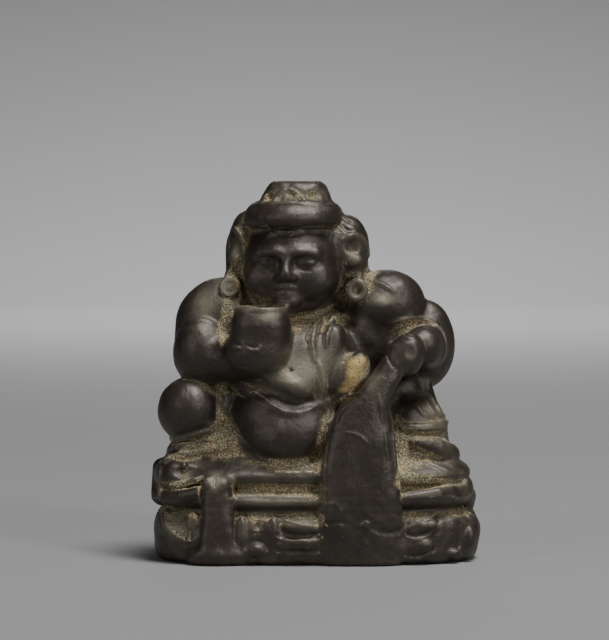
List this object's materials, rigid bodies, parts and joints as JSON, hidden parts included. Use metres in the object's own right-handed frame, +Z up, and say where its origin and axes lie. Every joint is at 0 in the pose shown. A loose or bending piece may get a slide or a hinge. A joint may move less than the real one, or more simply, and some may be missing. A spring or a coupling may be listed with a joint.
{
  "type": "seated kubera figurine",
  "caption": "Small solid-cast bronze of plump Kubera seated on a stepped throne, raising a cup and gripping the neck of a long mongoose-skin purse",
  "frame": {"origin": "centre of the underside, under the middle of the figure's bounding box, on the surface it stands on", "axes": "+Z up, the figure faces -Y, +X is the figure's own left, which is the viewer's right"},
  "size_m": [0.0436, 0.0264, 0.05],
  "materials": {
    "patinated_bronze": "dark brown-black patina with a dull sheen and sandy soil left in the hollows"
  },
  "bodies": {
    "root": {"kubera_figure": "patinated_bronze"}
  },
  "joints": []
}
